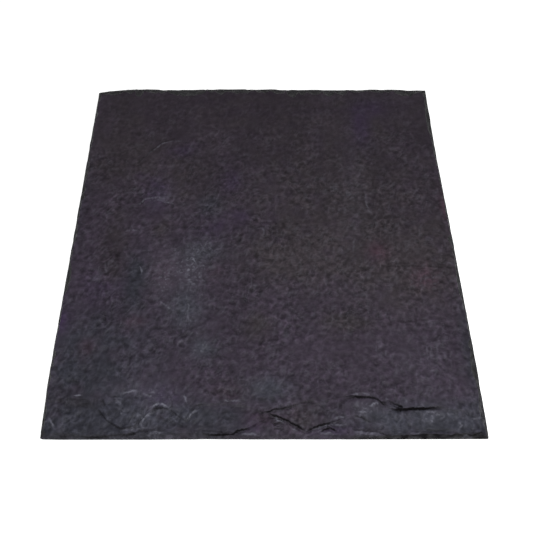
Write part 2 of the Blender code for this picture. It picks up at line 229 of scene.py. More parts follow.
# Pale lines: bruises, and painted highlights on lips, facets and spots that catch the light.
PALE_LINES = (
    ((-127, -125.5, 0.7), (-125, -125.5, 0.7)), ((-95, -137.5, 0.8), (-94, -138, 0.8)),
    ((-98, -125, 0), (-95, -124, 0.4), (-89, -122.5, 0.7), (-86, -122.5, 0)),
    ((-103, -128.5, 0), (-100, -129, 0.4), (-97, -130.5, 0.4), (-96, -132, 0)),
    ((-99, -133, 0), (-96, -135, 0.3), (-93, -137, 0)), ((-86, -140, 0), (-85, -139.5, 0.6), (-83, -138, 0)),
    ((-83, -124.5, 0), (-81, -125, 0.4), (-78, -126.5, 0.4), (-76, -127, 0)),
    ((-76, -133.5, 0.3), (-72, -131.5, 1), (-70, -131.5, 1), (-65, -133.5, 0.7), (-63, -133.5, 0)),
    ((-82, -146, 0), (-82, -145, 0.5), (-81, -142, 0.9), (-78, -139, 0.6), (-74, -136.5, 0)),
    ((-96, -149, 0), (-93, -148.5, 0.3), (-88, -148, 0.4), (-80, -147, 0.3), (-73, -146, 0)),
    ((-78, -152, 0), (-76, -151, 0.4), (-72, -150, 0.5), (-69, -150, 0.4), (-67, -150.5, 0)),
    ((-52, -143, 0), (-51, -141.5, 0.5), (-49, -138.5, 0.6), (-47, -136.5, 0.5), (-44, -135.5, 0)),
    ((-144, -139.5, 0), (-142, -141.5, 0.4), (-140, -145, 0.5), (-137, -148, 0)),
    ((-54, -126.5, 0.4), (-53, -129.5, 0.6)), ((17, -148, 0), (19, -148.5, 0.5), (23, -150, 0)),
    ((-30, -129.5, 0), (-26, -129.5, 0.4), (-20, -129.5, 0.4), (-12, -129.5, 0)),
    ((5, -141, 0), (8, -142, 0.6), (12, -143.5, 0.7), (14, -145, 0)),
    ((31, -150, 0), (34, -148.5, 0.4), (38, -147, 0.5), (46, -145.5, 0.4), (50, -146, 0.4), (53, -146, 0)),
    ((45, -142.5, 0), (48, -141.5, 0.4), (52, -140.5, 0.4), (55, -140, 0)),
    ((-17, -151.5, 0), (-13, -151, 0.4), (-8, -151, 0.4), (0, -151.5, 0)),
    ((58, -126.5, 0), (62, -125.5, 0.4), (67, -125.5, 0.4), (75, -126.5, 0)),
    ((71, -134, 0), (73, -133, 0.8), (76, -131.5, 1), (77, -131, 0)), ((65, -137.5, 0.6), (67, -137.5, 0.6)),
    ((82, -128, 0), (83, -129.5, 0.5), (82, -130.5, 0)), ((95, -129, 0), (96, -130.5, 0.5), (96, -132, 0)),
    ((58, -150.5, 0), (63, -150.5, 0.4), (70, -151, 0.5), (75, -151.5, 0.4), (78, -152, 0)),
    ((60, -152.5, 0), (66, -152.5, 0.3), (74, -153, 0.3), (77, -153, 0)),
    ((107, -137, 0), (110, -137.5, 0.4), (114, -137.5, 0.4), (117, -137.5, 0)),
    ((111, -142, 0), (112, -144, 0.6), (112, -145, 0)),
    ((37, -151, 0.3), (41, -151, 0.6), (45, -151.5, 0.5), (47, -151.5, 0)),
    ((128, -146, 0), (130, -145, 0.3), (131, -147, 0.4), (129, -149, 0.3), (126, -150, 0)),
    ((95, -152, 0), (99, -151.5, 0.3), (103, -152, 0.4), (106, -152.5, 0)),
    ((136, -143.5, 0), (140, -142.5, 0.3), (144, -142, 0.3), (147, -141.5, 0)),
    ((131, -154.5, 0), (132, -153.5, 0.4), (134, -153, 0.4), (137, -154, 0.3), (138, -154.5, 0)),
    ((-102, 26, 0), (-99, 28, 0.3), (-96, 32, 0.4), (-92, 33, 0.4), (-85, 34, 0.3), (-77, 31, 0)),
    ((-90, 30, 0), (-85, 31, 0.3), (-75, 28, 0.4), (-72, 27, 0)),
    ((-105, 68, 0), (-96, 79, 0.2), (-86, 89, 0.3), (-78, 91, 0.2), (-64, 91, 0)),
    ((-7, 4, 0), (-1, 5, 0.3), (0, 1, 0.3), (-1, -3, 0.3), (-4, -5, 0)),
    ((-108, 2, 0), (-105, 3, 0.3), (-100, 3, 0.3), (-97, 2, 0)), ((-46, -15, 0.3), (-44, -16, 0.3)),
    ((-54, -22, 0.6), (-53, -24, 0.6)), ((-93, -30, 0.4), (-92, -33, 0.5)),
    ((-120, -27, 0.2), (-119, -32, 0.2)),
    ((-78, -56, 0), (-74, -59, 0.4), (-70, -62, 0.4), (-67, -64, 0)),
    ((82, 40, 0), (83, 36, 0.2), (82, 32, 0.2), (83, 25, 0.3), (86, 16, 0)),
    ((72, -3, 0), (70, -7, 0.2), (69, -13, 0.2), (69, -18, 0)),
    ((132, -26, 0), (138, -26, 0.2), (144, -27, 0.2), (148, -27, 0.1)),
    ((-59, -38, 0), (-56, -41, 0.3), (-52, -43, 0.4), (-50, -47, 0)),
    ((-56, -56, 0.2), (-55, -61, 0.3), (-56, -66, 0.3), (-54, -73, 0.3), (-54, -76, 0)),
    ((-49, -36, 0.3), (-48, -39, 0.4), (-45, -41, 0.2)),
)
LINE_HALF_WIDTH = 1.3 * MM
LINE_REACH = 2.4 * MM
CLEFT_STEP = 0.55 * MM
CLEFT_RISER = 0.6 * MM
CLEFT_FADE = 4.5 * MM
BRUISE_HEIGHT = 0.15 * MM
BRUISE_WIDTH = 0.8 * MM
LINE_RAGGED = 0.4 * MM
LINE_FINE_RAGGED = 0.35
LINE_RAGGED_LENGTH = 5 * MM
LINE_SEEDS = (45, 50)

# The riven face, drawn out along the grain of the stone, which runs at GRAIN_ANGLE from +X.
GRAIN_ANGLE = math.radians(58)
GRAIN_STRETCH = 1.6
WAVE_LENGTH = 52 * MM
WAVE_SEED = 11
LUMP_LENGTH = 15 * MM
LUMP_SEED = 12
STEP_SPACING = 40 * MM
STEP_SHARPNESS = 7
STEP_SEED = 13

# Thin flakes, which are terraces FLAKE_LAYER apart in the noise, with risers one part in FLAKE_STEEPNESS of a
# tread wide, and fine grain over them. They reach their full height at the front over the strip from
# FLAKED_BEHIND behind the upper ledge to FLAKED_FADE in front of it.
FLAKE_SPACING = 15 * MM
FLAKE_LAYER = 0.42
FLAKE_STEEPNESS = 3.5
FLAKE_GAIN = 0.55
FLAKE_SEED = 51
FLAKED_BEHIND = 14 * MM
FLAKED_FADE = 6 * MM
GRAIN_LENGTH = 4.2 * MM
GRAIN_OCTAVES = 2
GRAIN_GAIN = 0.62
GRAIN_SEED = 61
RELIEF_SPAN = 0.9 * MM

# The flakes' lips are painted pale in places, and more so in the cloud patches: partly wear, and partly
# painted highlight where the lips catch the light.
WEAR_LENGTH = 6 * MM
WEAR_SEED = 55
WEAR_CHANGE = 1.6
EDGE_WEAR_AND_HIGHLIGHT = 0.16
CLOUD_WEAR = 0.12
CLOUD_CONTRAST = 1.7

# The fine relief is uneven over the face, and calmer towards the back.
COARSENESS_CHANGE = 0.62
COARSENESS_LENGTH = 26 * MM
COARSENESS_GAIN = 0.7
COARSENESS_SEED = 65
BACK_CALMNESS = 0.52
BACK_CALM_START = 10 * MM
BACK_CALM_RUN = 130 * MM

# The bevels are cut into laminae, whose levels shift a little over the slab, with crumbs on them.
LAMINA = 0.85 * MM
LAMINA_SHIFT = 0.8 * MM
LAMINA_WAVE = 24 * MM
LAMINA_SEED = 71
LAMINA_SHARE = 0.75
LAMINA_STEEPNESS = 3.0
CRUMB_HEIGHT = 0.16 * MM
CRUMB_LENGTH = 1.9 * MM
CRUMB_SEED = 81

# Soft patches on the face, as (x, y, reach in x, reach in y, strength), in millimetres. A strength below 0
# takes away from the patches round it. Each kind is a mask for one colour, and "cloud" is for paler stone.
PATCHES = {
    "blue": (
        (-118, -100, 40, 34, 1.0), (-92, -143, 75, 15, 1.3), (-43, 25, 10, 10, 1.4), (-48, -14, 16, 11, 0.9),
        (-96, -38, 9, 22, 1.0), (-57, -62, 12, 16, 0.9), (-43, -93, 10, 9, 0.9), (0, -122, 18, 9, 1.0),
        (112, -144, 56, 12, 1.3), (146, -95, 6, 40, 0.9), (-147, 60, 5, 60, 0.6), (-32, -145, 18, 7, 0.9),
    ),
    "violet": (
        (84, 106, 8, 22, 0.42), (96, 128, 20, 12, 0.42), (-69, 80, 13, 10, 0.6), (-86, 38, 9, 18, 0.8),
        (-101, 51, 14, 7, 0.8), (-26, 51, 9, 13, 0.5), (-12, 11, 13, 10, 0.9), (-38, 5, 18, 16, 0.5),
        (-120, -45, 14, 16, 0.4), (42, -151, 14, 4, 0.5), (-146, -73, 5, 8, 1.0), (-70, -126, 12, 7, 0.6),
        (-8, -145, 9, 6, 0.4),
    ),
    "brown": (
        (62, 40, 95, 75, 1.0), (112, -28, 45, 36, 0.9), (-116, -12, 9, 28, 1.0), (-100, 72, 50, 22, 0.7),
        (-5, -77, 9, 9, 1.1), (60, -74, 16, 7, 1.1), (26, -141, 11, 8, 0.9), (20, 130, 150, 40, 0.9),
        (22, -22, 34, 22, 0.9), (-80, 5, 7, 9, 0.8), (-62, 50, 12, 22, 0.8), (-120, 92, 26, 50, 0.7),
        (84, 106, 10, 26, -1.2), (96, 128, 20, 12, -1.0), (-69, 80, 12, 9, -0.7), (-26, 51, 9, 13, -0.5),
    ),
    "red": (
        (87, -16, 8, 8, 0.75), (121, -38, 10, 9, 0.75), (146, 26, 4, 12, 0.9), (-93, -73, 9, 5, 0.3),
        (-125, -91, 8, 6, 0.3), (-75, -34, 9, 14, 0.2), (-38, -34, 6, 8, 0.2), (-22, -123, 12, 6, 0.28),
        (-1, -143, 11, 6, 0.25),
    ),
    # Darker stone in patches, and painted shade: the first, widest patch paints the back of the face darker.
    "deep": (
        (0, 175, 300, 130, 0.74), (4, -139, 30, 8, 0.5), (-60, 60, 22, 16, 0.2), (60, -85, 20, 16, 0.3),
        (-125, -130, 13, 4, 0.5), (-50, -148, 30, 4, 0.4), (90, 114, 18, 28, -0.5), (-69, 80, 12, 12, -0.3),
        (-86, 38, 12, 12, -0.2), (-116, -18, 9, 18, 0.75), (109, 18, 20, 16, 0.2), (46, -102, 14, 10, 0.25),
        (30, -138, 12, 6, 0.45), (-108, -94, 14, 14, 0.3), (-6, -78, 10, 10, 0.2),
        (-22, -123, 12, 6, 0.8),
    ),
    "cloud": (
        (-53, -29, 13, 15, 0.85), (-46, -13, 15, 9, 0.45), (-57, -62, 13, 18, 0.55), (-75, -34, 10, 20, 0.65),
        (-43, -93, 10, 9, 0.55), (-70, -126, 12, 6, 0.55), (0, -121, 14, 7, 0.38), (112, -139, 22, 5, 0.2),
        (72, 38, 10, 52, 0.25), (-84, 36, 12, 9, 0.4), (68, -134, 8, 5, 0.65), (-88, -122, 16, 7, 0.4),
        (110, -105, 20, 20, 0.3), (112, -141, 50, 7, 0.4), (121, -38, 9, 9, 0.38), (-80, -140, 10, 6, 0.4),
        (-62, -138, 22, 10, 0.14),
    ),
}
PATCH_RAGGED = 0.55
PATCH_RAGGED_LENGTH = 13 * MM
PATCH_SEEDS = {"blue": 103, "violet": 104, "brown": 107, "red": 98, "deep": 106, "cloud": 107}

# How many cells of the grid lie in each strip of the face, from left to right and from front to back. The
# calm strips take up the unevenness of the bevels and the ledges, so that the rest of the grid is even.
CELLS_ACROSS = {"left bevel": 10, "left calm": 8, "middle": 264, "right calm": 8, "right bevel": 10}
CELLS_ALONG = {
    "front bevel": 12, "lower shelf": 11, "lower riser": 3, "upper shelf": 22, "slope": 3, "hollow": 2,
    "lip": 3, "front calm": 14, "middle": 198, "back calm": 8, "back bevel": 12,
}
SIDE_CALM = 11 * MM
FRONT_CALM_LINE = -119 * MM
BACK_CALM = 17 * MM

# How many cells of the face one cell of the underside spans each way.
UNDERSIDE_STEP = 4

# The rings below the rim, as (how far each is set back from the rim, its height), and the underside.
EDGE_RINGS = ((0.15 * MM, 1.15 * MM), (0.6 * MM, 0.6 * MM), (1.5 * MM, 0.3 * MM))
EDGE_RAGGED = 0.3
EDGE_HEIGHT_SHARES = (0.5, 1.5)
UNDERSIDE_SET_BACK = 5 * MM
UNDERSIDE_RELIEF = 0.35 * MM
UNDERSIDE_RELIEF_LENGTH = 30 * MM
UNDERSIDE_MEAN = 0.6
UNDERSIDE_SEED = 101
# The share of the broken stone's colour, partly painted shade, on the edge below the rim and the underside.
EDGE_BROKEN_AND_SHADE = 0.6

# The noise repeats after so many lattice squares. Each octave of layered noise is weaker by the gain.
LATTICE = 64
FINE_LATTICE = 256
OCTAVES = 3
GAIN = 0.6
SHARP_ANGLE = math.radians(48)

# The finish. Each noise is (features a metre, octaves, roughness), and each range is (from, to, new from, new
# to). The shades multiply the stone's colour, and the shares mix in the colour of worn stone, which also
# paints highlights.
CLOUD_NOISE = (28.0, 4.0, 0.55)
CLOUD_SHADE = (0.3, 0.7, 0.80, 1.19)
GRAIN_NOISE = (280.0, 0.6, 0.55)
GRAIN_SHADE = (-0.13, 0.13, 0.76, 1.27)
RIDGE_NOISE = (185.0, 0.7, 0.5)
RIDGE_WIDTH = (0.0, 0.075, 0.65, -0.35)
RIDGE_SHADE = (-0.35, 0.65, 0.85, 1.35)
# Painted light and shade over the fine relief: lighter where it is high, darker where it is low.
HEIGHT_SHADE = (0.25, 0.75, 0.70, 1.34)
SCALE_NOISE = (130.0, 2.0, 0.6)
SCALE_COUNT = 20.0
SCALE_RISER = (0.0, 0.4, 0.0, 1.0)
FLECK_NOISE = (190.0, 2.0, 0.55)
FLECK_SHARE = (0.49, 0.64, 0.0, 0.40)
DOT_NOISE = (520.0, 1.0, 0.55)
DOT_SHARE = (0.55, 0.72, 0.0, 0.58)
LINE_NOISE = (700.0, 2.0, 0.55)
LINE_NOISE_RANGE = (0.3, 0.7, -LINE_FINE_RAGGED, LINE_FINE_RAGGED)
LINE_STRENGTH = 1.35
BRUISE_AND_HIGHLIGHT_NOISE = (420.0, 1.0, 0.55)
BRUISE_AND_HIGHLIGHT_SHARE = (0.38, 0.6, 0.15, 0.72)
SHEEN_NOISE = (210.0, 1.0, 0.6)
SHEEN_RANGE = (0.3, 0.7, -0.10, 0.12)
BUMP_HEIGHT = 1.2 * MM
BUMP_SCALES = 0.11
BUMP_CLEFTS = 0.35
FLOOR_NOISE = (2.0, 2.0, 0.55)
FLOOR_DARKENING = 0.985
FLOOR_ROUGHNESS = 0.9
FLOOR_REFLECTION = 0.1
FLOOR_HALF = 3.0
SENSOR_WIDTH = 36.0

# How the nodes of a material are laid out in its editor.
NODES_IN_ROW = 12
NODE_WIDTH = 200
NODE_HEIGHT = 320


# Settings that a user would change


def number_setting(name, description, default, **kind):
    """A number of this unit or subtype."""
    return bpy.props.FloatProperty(name=name, description=description, default=default, **kind)


def length_setting(name, description, default):
    """A length in metres."""
    return number_setting(name, description, default, unit="LENGTH")


def share_setting(name, description, default):
    """A share from 0 to 1."""
    return number_setting(name, description, default, subtype="FACTOR", min=0.0, max=1.0)


def place_setting(name, description, default):
    """A place in metres."""
    return bpy.props.FloatVectorProperty(
        name=name, description=description, default=default, size=3, subtype="TRANSLATION",
    )


def colour_setting(name, description, default):
    """A colour, as a picker."""
    return bpy.props.FloatVectorProperty(
        name=name, description=description, default=default, size=4, subtype="COLOR", min=0.0, max=1.0,
    )


class SlabShape(bpy.types.PropertyGroup):
    """The stone's own sizes; its width and depth come from the solid that it replaces."""

    width: length_setting("Width", "From the left edge to the right edge", SOLID_HIGH.x - SOLID_LOW.x)
    depth: length_setting("Depth", "From the front edge to the back edge", SOLID_HIGH.y - SOLID_LOW.y)
    thickness: length_setting("Thickness", "Mean height of the face above the floor", 7 * MM)
    rim_height: length_setting("Rim height", "Height of the widest part of the edge", 1.8 * MM)
    reach_left: length_setting("Left bevel", "How far the left chips reach in", 4.4 * MM)
    reach_right: length_setting("Right bevel", "How far the right chips reach in", 4.8 * MM)
    reach_front: length_setting("Front bevel", "How far the front chips reach in", 3.2 * MM)
    reach_back: length_setting("Back bevel", "How far the back chips reach in", 11.0 * MM)
    wave_height: length_setting("Waves", "Height of the broad waves in the face", 0.40 * MM)
    lump_height: length_setting("Lumps", "Height of the smaller lumps", 0.20 * MM)
    step_height: length_setting("Steps", "Height of the thin cleavage steps", 0.24 * MM)
    flake_height: length_setting("Flakes", "Height of the thin flakes on the face", 0.13 * MM)
    band_flake_height: length_setting("Front flakes", "Height of the flakes in front of the ledge", 0.2 * MM)
    grain_height: length_setting("Grain", "Height of the finest grain in the mesh", 0.26 * MM)


class SlateFinish(bpy.types.PropertyGroup):
    """The colours and the sheen of the slate."""

    ground: colour_setting("Ground", "Purple grey of most of the face", (0.0182, 0.0135, 0.0211, 1.0))
    blue: colour_setting("Blue grey", "Blue-grey patches", (0.0139, 0.0141, 0.0198, 1.0))
    violet: colour_setting("Violet", "Violet patches", (0.0190, 0.0119, 0.0279, 1.0))
    brown: colour_setting("Brown", "Olive-brown patches", (0.0181, 0.0146, 0.0172, 1.0))
    red: colour_setting("Red", "Faint red patches", (0.0279, 0.0136, 0.0208, 1.0))
    # Darker stone, and painted shade: this colour also paints the face darker towards the back.
    deep: colour_setting("Deep", "Darker stone towards the back", (0.0120, 0.0087, 0.0129, 1.0))
    # Broken stone, painted darker as shade on the bevels, the risers and the edge below the rim.
    broken: colour_setting("Broken stone", "Chipped edges and risers", (0.0120, 0.0116, 0.0125, 1.0))
    # Pale worn stone, and painted highlight: this colour also paints the bright lips and spots along the pale
    # lines.
    worn: colour_setting("Worn stone", "Pale lips, seams and flecks", (0.110, 0.110, 0.135, 1.0))
    # Painted shadow: the near-black colour laid along the clefts and, as painted shade, in the ledges and on
    # the front bevel.
    cleft: colour_setting("Clefts", "Dark dust in the clefts", (0.0015, 0.0012, 0.0016, 1.0))
    roughness: share_setting("Roughness", "Mean roughness of the split face", 0.60)
    sheen_level: share_setting("Reflection", "How strongly it reflects; 0.5 is usual for stone", 0.10)


class StageSettings(bpy.types.PropertyGroup):
    """The floor, the lights and the camera."""

    floor_colour: colour_setting("Floor", "Colour of the floor", (0.92, 0.92, 0.92, 1.0))
    sky_colour: colour_setting("Surroundings", "Colour of the light from all round", (1.0, 1.0, 1.0, 1.0))
    sky_strength: number_setting("Surroundings' strength", "Strength of the light from all round", 0.45)
    overhead_power: number_setting("Overhead box", "Power of the wide soft box overhead", 8.0, unit="POWER")
    overhead_size: length_setting("Overhead box size", "Side of the soft box overhead", 0.8)
    overhead_place: place_setting("Overhead box place", "Middle of the soft box overhead", (0.0, -0.25, 1.2))
    key_power: number_setting("Front box", "Power of the smaller soft box at the front", 12.0, unit="POWER")
    key_size: length_setting("Front box size", "Side of the smaller soft box", 0.7)
    key_place: place_setting("Front box place", "Middle of the smaller soft box", (0.25, -0.62, 0.85))
    camera_place: place_setting("Camera", "Where the camera stands", (-0.00039, -0.20435, 0.36445))
    camera_down: number_setting(
        "Camera tilt", "How far the camera looks below the horizon", math.radians(64.234), subtype="ANGLE",
    )
    camera_turn: number_setting(
        "Camera turn", "How far the camera looks to the right of +Y", math.radians(1.607), subtype="ANGLE",
    )
    camera_roll: number_setting(
        "Camera roll", "How far the camera leans to its left", math.radians(1.278), subtype="ANGLE",
    )
    camera_lens: number_setting("Lens", "Focal length on a 36 mm wide sensor", 35.0, unit="CAMERA")


# Curves and noise


def ease(share):
    """A share from 0 to 1 that starts and ends level: 3 times its square less 2 times its cube."""
    share = np.clip(share, 0.0, 1.0)
    return share * share * (3.0 - 2.0 * share)


def gradient_noise(x, y, length, seed, lattice=LATTICE):
    """Smooth noise, about -1 to 1: a random slope at each lattice point, blended across each square."""
    angle = np.random.default_rng(seed).uniform(0.0, 2.0 * np.pi, (lattice, lattice))
    column = np.floor(x / length).astype(int)
    row = np.floor(y / length).astype(int)
    x_share = x / length - column
    y_share = y / length - row

    def corner(right, up):
        turn = angle[(column + right) % lattice, (row + up) % lattice]
        return np.cos(turn) * (x_share - right) + np.sin(turn) * (y_share - up)

    near = corner(0, 0) + (corner(1, 0) - corner(0, 0)) * ease(x_share)
    far = corner(0, 1) + (corner(1, 1) - corner(0, 1)) * ease(x_share)
    return np.sqrt(2.0) * (near + (far - near) * ease(y_share))


def layered_noise(x, y, length, seed, octaves=OCTAVES, gain=GAIN):
    """The sum of octaves of noise, each half as long as the last and weaker by the gain."""
    total = np.zeros_like(x)
    for octave in range(octaves):
        total += gain**octave * gradient_noise(x, y, length / 2**octave, seed + octave, FINE_LATTICE)
    return total


def along_points(points, column, place):
    """The value in one column of a list of points in millimetres, read between them, in metres."""
    table = np.array(points) * MM
    return np.interp(place, table[:, 0], table[:, column])


def start_of(strips, name):
    """The row or column on which a strip starts."""
    return sum(list(strips.values())[:list(strips).index(name)])


def between_guides(strips, guides, station):
    """A value on a row or column of the grid: even shares of the gap between one guide and the next."""
    cells = list(strips.values())
    knots = np.concatenate([[0], np.cumsum(cells)])
    value = np.array(guides[0], copy=True)
    for number, count in enumerate(cells):
        share = np.clip((station - knots[number]) / count, 0.0, 1.0)
        value = value + share * (guides[number + 1] - guides[number])
    return value


# The chipped edge


def bevel_chips(side, reach, place):
    """The bevel's reach at each place along its edge, and the arc over the chip that the place lies in.

    An arc is 1 less the square of the share of the way from the chip's middle to its end.
    """
    number = SIDES.index(side)
    draw = np.random.default_rng(CHIP_SEED + number)
    row_length = CHIP_OVERRUN * (SOLID_HIGH.y - SOLID_LOW.y)
    count = int(np.ceil(row_length / SHORTEST_CHIP))
    lengths = SHORTEST_CHIP + (LONGEST_CHIP - SHORTEST_CHIP) * draw.uniform(0.0, 1.0, count) ** 2
    ends = np.cumsum(lengths) - row_length / 2
    size = 1.0 + CHIP_SHARE * draw.uniform(-1.0, 1.0, count)
    chip = np.clip(np.searchsorted(ends, place), 1, count - 1)
    share = 2.0 * (place - ends[chip - 1]) / (ends[chip] - ends[chip - 1]) - 1.0
    arc = np.clip(1.0 - share**2, 0.0, 1.0)
    nicks = NICK_SHARE * gradient_noise(place, np.full_like(place, number * MM), NICK_LENGTH, NICK_SEED)
    return reach * (size[chip] * (CHIP_CUSP + (1.0 - CHIP_CUSP) * arc) + nicks), arc


def round_corners(x, y, shape):
    """Each corner's square turned into a quarter disc of its radius, edge onto edge."""
    for name, radius in CORNER_RADIUS.items():
        side = 1.0 if name.endswith("right") else -1.0
        end = 1.0 if name.startswith("back") else -1.0
        out_x = side * x - (shape.width / 2 - radius)
        out_y = end * y - (shape.depth / 2 - radius)
        inside = (out_x > 0) & (out_y > 0)
        length = np.where(inside, np.hypot(out_x, out_y), 1.0)
        pull = np.where(inside, np.maximum(out_x, out_y) / length, 1.0)
        x = np.where(inside, side * (shape.width / 2 - radius + out_x * pull), x)
        y = np.where(inside, end * (shape.depth / 2 - radius + out_y * pull), y)
    return x, y


def corner_chip(x, y, shape):
    """How much is knocked off the front left corner: it grows with the distance outside the chip's line."""
    in_from_left = x + shape.width / 2
    in_from_front = y + shape.depth / 2
    outside = 1.0 - in_from_left / CORNER_CHIP_ALONG_FRONT - in_from_front / CORNER_CHIP_ALONG_LEFT
    line_to_corner = 1.0 / np.hypot(1.0 / CORNER_CHIP_ALONG_FRONT, 1.0 / CORNER_CHIP_ALONG_LEFT)
    return CORNER_CHIP_FALL * line_to_corner * np.maximum(outside, 0.0)


def laminated(height, x, y):
    """A height pulled onto the treads of thin laminae, whose levels rise and fall a little over the slab."""
    shift = LAMINA_SHIFT * gradient_noise(x, y, LAMINA_WAVE, LAMINA_SEED)
    level = (height + shift) / LAMINA
    tread = np.floor(level)
    riser = ease((level - tread - 0.5) * LAMINA_STEEPNESS + 0.5)
    return height + LAMINA_SHARE * ((tread + riser) * LAMINA - shift - height)


# The riven face


def with_the_grain(x, y):
    """Coordinates along the grain, drawn out, and across it."""
    along = (x * np.cos(GRAIN_ANGLE) + y * np.sin(GRAIN_ANGLE)) / GRAIN_STRETCH
    across = y * np.cos(GRAIN_ANGLE) - x * np.sin(GRAIN_ANGLE)
    return along, across


def riven_relief(x, y, shape):
    """The height of the split face above or below its mean: waves, lumps and thin steps."""
    along, across = with_the_grain(x, y)
    waves = shape.wave_height * gradient_noise(along, across, WAVE_LENGTH, WAVE_SEED)
    lumps = shape.lump_height * gradient_noise(along, across, LUMP_LENGTH, LUMP_SEED)
    layers = gradient_noise(along, across, STEP_SPACING, STEP_SEED)
    return waves + lumps + shape.step_height * (ease(0.5 + STEP_SHARPNESS * layers) - 0.5)


def coarseness(x, y):
    """How strong the fine relief is: uneven over the face, and weaker towards the back."""
    noise = layered_noise(x, y, COARSENESS_LENGTH, COARSENESS_SEED, octaves=2, gain=COARSENESS_GAIN)
    calmer = BACK_CALMNESS * ease((y - BACK_CALM_START) / BACK_CALM_RUN)
    return (1.0 + COARSENESS_CHANGE * noise) * (1.0 - calmer)


def flaked_band(x, y):
    """From 0 to 1, how flaked the stone is: fully in front of the upper ledge, and less behind it."""
    return ease((along_points(UPPER_LEDGE, 1, x) + FLAKED_BEHIND - y) / (FLAKED_BEHIND + FLAKED_FADE))


def fine_relief(x, y, shape):
    """Thin flakes, which are terraces of noise, with fine grain over them; and where the flakes' lips are."""
    along, across = with_the_grain(x, y)
    field = layered_noise(along, across, FLAKE_SPACING, FLAKE_SEED, gain=FLAKE_GAIN) / FLAKE_LAYER
    part = field - np.floor(field)
    riser = np.clip(part * FLAKE_STEEPNESS, 0.0, 1.0)
    flakes = np.floor(field) + ease(riser) - field
    lip = np.clip(1.0 - np.abs(part * FLAKE_STEEPNESS - 1.0), 0.0, 1.0)
    grain = layered_noise(x, y, GRAIN_LENGTH, GRAIN_SEED, GRAIN_OCTAVES, GRAIN_GAIN)
    flake_height = shape.flake_height + flaked_band(x, y) * (shape.band_flake_height - shape.flake_height)
    broken_up = ease(0.5 + WEAR_CHANGE * gradient_noise(x, y, WEAR_LENGTH, WEAR_SEED))
    return coarseness(x, y) * (flake_height * flakes + shape.grain_height * grain), lip * broken_up


def nearest_line(lines, x, y):
    """How far each place is in front of the nearest line, less than 0 behind it, and its strength there.

    Each place is dropped onto every stretch between two points, and the shortest drop counts. The strength
    is whole up to half of LINE_REACH and fades to none at LINE_REACH, so no edge shows between two lines.
    """
    nearest = np.full_like(x, np.inf)
    front = np.ones_like(x)
    strength = np.zeros_like(x)
    for line in lines:
        points = np.array(line) * (MM, MM, 1.0)
        for start, end in zip(points[:-1], points[1:]):
            run_x, run_y = (end - start)[:2]
            share = ((x - start[0]) * run_x + (y - start[1]) * run_y) / (run_x**2 + run_y**2)
            share = np.clip(share, 0.0, 1.0)
            off_x = x - start[0] - share * run_x
            off_y = y - start[1] - share * run_y
            away = np.hypot(off_x, off_y)
            nearer = away < nearest
            nearest = np.where(nearer, away, nearest)
            front = np.where(nearer, np.where(run_x * off_y > run_y * off_x, -1.0, 1.0), front)
            strength = np.where(nearer, start[2] + share * (end[2] - start[2]), strength)
    return front * nearest, strength * np.clip(2.0 - nearest / (LINE_REACH / 2), 0.0, 1.0)


def patches(places, seed, x, y):
    """From 0 to 1, how strong the soft patches are: a bell over each place, with a ragged outline.

    A bell is e to the power of minus the square of the distance, counted in the patch's own reaches.
    """
    total = np.zeros_like(x)
    for centre_x, centre_y, reach_x, reach_y, strength in places:
        away = np.hypot((x / MM - centre_x) / reach_x, (y / MM - centre_y) / reach_y)
        total += strength * np.exp(-away**2)
    ragged = 1.0 + PATCH_RAGGED * layered_noise(x, y, PATCH_RAGGED_LENGTH, seed)
    return np.clip(total * ragged, 0.0, 1.0)


# The whole stone


def ledge_guides(x, bevel_top):
    """The guide lines from the lower ledge's foot to the upper lip, with the hollow between slope and lip.

    The feet and lips of the ledges are kept clear of each other. The hollow's floor and roof may lie behind
    the upper lip.
    """
    ragged = LEDGE_RAGGED * layered_noise(x, np.zeros_like(x), LEDGE_RAGGED_LENGTH, LEDGE_SEED)
    lower_line = along_points(LOWER_LEDGE, 1, x) + LOWER_RAGGED_SHARE * ragged
    lower_run = RISER_RUN * (LOWER_RUN_LEAST + along_points(LOWER_LEDGE, 2, x) / MM)
    lower_foot = np.maximum(lower_line - lower_run, bevel_top + LEAST_LEDGE_GAP)
    lower_lip = lower_foot + lower_run
    run = along_points(SLOPE_RUN, 1, x)
    hollow = along_points(HOLLOWED, 1, x)
    upper_lip = np.maximum(along_points(UPPER_LEDGE, 1, x) + ragged, lower_lip + run + LEAST_LEDGE_GAP)
    foot, floor, roof = [
        upper_lip - runs * run + depths * hollow for runs, depths in (SLOPE_FOOT, HOLLOW_FLOOR, HOLLOW_ROOF)
    ]
    foot = np.maximum(foot, lower_lip + LEAST_LEDGE_GAP / 2)
    return [lower_foot, lower_lip, foot, floor, roof, upper_lip]


def drop_guides(x):
    """How far below the split face each guide line lies, from the front edge to the back edge."""
    upper = along_points(UPPER_LEDGE, 2, x)
    lower = along_points(LOWER_LEDGE, 2, x)
    hollow = along_points(HOLLOWED, 1, x)
    floor = upper + FLOOR_DROP_SHARE * hollow
    roof = ROOF_DROP_SHARE * upper
    roof += np.clip(hollow / MM, 0.0, 1.0) * (LIP_THICKNESS - roof)
    lip = np.full_like(x, LIP_ROUND)
    none = np.zeros_like(x)
    both = upper + lower
    return [both, both, both, upper, upper, floor, roof, lip, none, none, none, none]


def flat_guides(shape):
    """Where the guide lines would lie on a slab with straight edges and straight ledges."""
    front = -shape.depth / 2
    back = shape.depth / 2
    lower_lip = np.mean([point[1] for point in LOWER_LEDGE]) * MM
    upper_lip = np.mean([point[1] for point in UPPER_LEDGE]) * MM
    return [
        front, front + shape.reach_front, lower_lip - RISER_RUN, lower_lip, upper_lip - 3 * RISER_RUN,
        upper_lip - 2 * RISER_RUN, upper_lip - RISER_RUN, upper_lip, FRONT_CALM_LINE, back - BACK_CALM,
        back - shape.reach_back, back,
    ]


